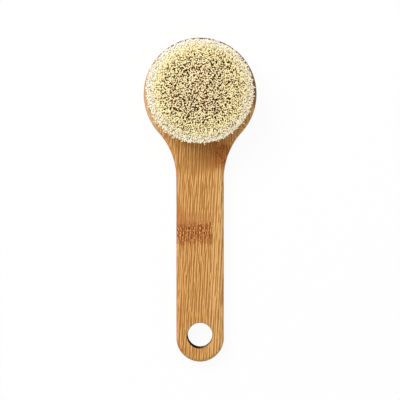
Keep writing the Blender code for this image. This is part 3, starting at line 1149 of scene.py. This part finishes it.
def ring_of_bristles(ring, names):
    piece = bpy.data.objects.new(f"bristles_ring{ring}", bpy.data.meshes.new("bristles"))
    bpy.context.scene.collection.objects.link(piece)
    inside = sum(len(inner) for inner in RINGS[:ring])
    ring_sizes = {
        "Tufts": len(names),
        "Strands": STRANDS[ring],
        "Hole Ring": HOLE_PITCH * ring,
        "Tips From": PAD_RADIUS * math.sqrt(inside / TUFTS),
        "Tips To": PAD_RADIUS * math.sqrt((inside + len(names)) / TUFTS),
        "Seed": ring,
    }
    grown(piece, tree, {**PAD_SIZES, **ring_sizes})
    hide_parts(*names)
    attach(piece, "root")
    return piece


pad = [ring_of_bristles(ring, names) for ring, names in enumerate(RINGS)]
print("faces in each ring:", [len(piece.data.polygons) for piece in pad])

# %% [markdown]
# ## The anchor wires
# Nothing shows of them, but they hold the brush together: each bundle of bristles is folded over a
# short flat steel wire, and wire and fold are driven into the hole until the wire's ends bite into
# its wall. The steel is cut from drawn wire, so its finish has fine scratches along its length.

# %% The finish of the wires
STEEL = (190, 188, 184)
SCRATCHED, SCRATCH_SHARE = (150, 148, 146), 0.6
SCRATCH_LENGTH = 4
SCRATCH_WIDTH = 0.08
SCRATCH_LEVELS = (0.35, 0.65)
POLISHED = 0.28
ROUGH_SCRATCHES = 0.16


def steel_finish():
    f = Finish("anchor_steel")
    x, y, z = f.place()
    drawn = f.noise(x / SCRATCH_LENGTH, y / SCRATCH_WIDTH, z / SCRATCH_WIDTH, 1)
    steel = f.glaze(colour(*STEEL), drawn.rise(*SCRATCH_LEVELS) * SCRATCH_SHARE, SCRATCHED)
    return f.done(f.shader(base_color=steel, metallic=1.0, roughness=POLISHED + drawn * ROUGH_SCRATCHES))


steel = steel_finish()
print("nodes in the steel finish:", len(steel.node_tree.nodes))

# %% [markdown]
# ### Driving them in
# Every hole has its wire, and all are alike, so a second tree sets a small box on each point of a
# plain mesh of points. Python could copy a box too, but a tree keeps its sizes where they can be
# changed.

# %% The anchor wires
WIRE_SIZES = {"Length": 5.52 * MM, "Thickness": 0.6 * MM, "Height": 1.8 * MM}
WIRE_MIDDLE = 6.2 * MM
WIRE_INPUTS = {"Geometry": GEOMETRY, **dict.fromkeys(WIRE_SIZES, NUMBER), "Material": MATERIAL}


def wire_tree():
    g, given = new_tree("anchor_wires", WIRE_INPUTS, "Wires")
    size = g.vector(given["Length"], given["Thickness"], given["Height"])
    wire = g.node("GeometryNodeMeshCube", {}, {"Size": size})
    sockets = {"Points": given["Geometry"], "Instance": wire}
    placed = g.node("GeometryNodeInstanceOnPoints", {}, sockets)
    return finished_tree(g, given, placed, "Wires")


places = bmesh.new()
for mouth in tuft_mouths():
    places.verts.new((mouth.x, mouth.y, WIRE_MIDDLE))
anchors = grown(mesh_object("anchor_wires", places), wire_tree(), {**WIRE_SIZES, "Material": steel})
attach(anchors, "root")
print("faces of the anchor wires:", len(anchors.data.polygons))

# %% [markdown]
# ## The floor
# The photograph's background is white paper. A white floor under soft light comes out grey, and
# more light would bleach the brush. Light Path tells the camera's rays from those that carry light:
# to the camera the paper is mostly plain white, with a little real paper left for the brush's soft
# shadow. The sheet lies a tenth of a millimetre under the board's back, because two faces in one
# plane flicker where they are seen from below.

# %% The floor
FLOOR_HALF = 3.0
FLOOR_GAP = 0.1 * MM
WHITENESS = 0.94
WHITE = (1.0, 1.0, 1.0, 1.0)
PAPER = (0.86, 0.86, 0.86, 1.0)


def seen_directly(g):
    """1 for what the camera sees, straight or in a gloss, and 0 for the light that surfaces gather."""
    path = g.node("ShaderNodeLightPath").socket.node
    straight, in_gloss, through = (
        Value(g, path.outputs[f"Is {kind} Ray"]) for kind in ("Camera", "Glossy", "Transmission")
    )
    return (straight + in_gloss + through).smallest(1.0)


def paper_finish():
    f = Finish("white_paper")
    seen = seen_directly(f)
    paper = f.node("ShaderNodeBsdfDiffuse", {}, {"Color": PAPER})
    white = f.node("ShaderNodeEmission", {}, {"Color": WHITE, "Strength": 1.0})
    return f.done(f.node("ShaderNodeMixShader", {}, {0: seen * WHITENESS, 1: paper, 2: white}))


sheet = bmesh.new()
bmesh.ops.create_grid(sheet, x_segments=1, y_segments=1, size=FLOOR_HALF)
bmesh.ops.translate(sheet, verts=sheet.verts, vec=(0, 0, -FLOOR_GAP))
floor = mesh_object("floor", sheet)
floor.data.materials.append(paper_finish())
print("floor: %.0f m square" % (2 * FLOOR_HALF))

# %% [markdown]
# ## Light
# The photograph is lit by one large soft lamp high at the upper left, whose shade falls below and
# to the right of the pad, and by white walls all round. The walls are the world's even light. What
# the camera sees of them is plain white, as the paper is.

# %% Light
LAMP_PLACE = Vector((-0.62, 0.58, 1.15))
LAMP_AIM = Vector((0, -0.05, 0))
LAMP_SIZE = 0.85
LAMP_POWER = 15.8
WALLS = 0.55

light = bpy.data.lights.new("key", "AREA")
light.shape = "DISK"
light.size = LAMP_SIZE
light.energy = LAMP_POWER
lamp = bpy.data.objects.new("key", light)
lamp.location = LAMP_PLACE
lamp.rotation_mode = "QUATERNION"
lamp.rotation_quaternion = (LAMP_AIM - LAMP_PLACE).to_track_quat("-Z", "Y")
bpy.context.scene.collection.objects.link(lamp)

world = bpy.data.worlds.new("studio")
world.use_nodes = True
walls = Graph(world.node_tree)
strength = WALLS + seen_directly(walls) * (1 - WALLS)
even = walls.node("ShaderNodeBackground", {}, {"Color": WHITE, "Strength": strength})
walls.node("ShaderNodeOutputWorld", {}, {"Surface": even})
bpy.context.scene.world = world
bpy.context.scene.view_settings.view_transform = "Standard"
print("lamps:", len(bpy.data.lights))

# %% [markdown]
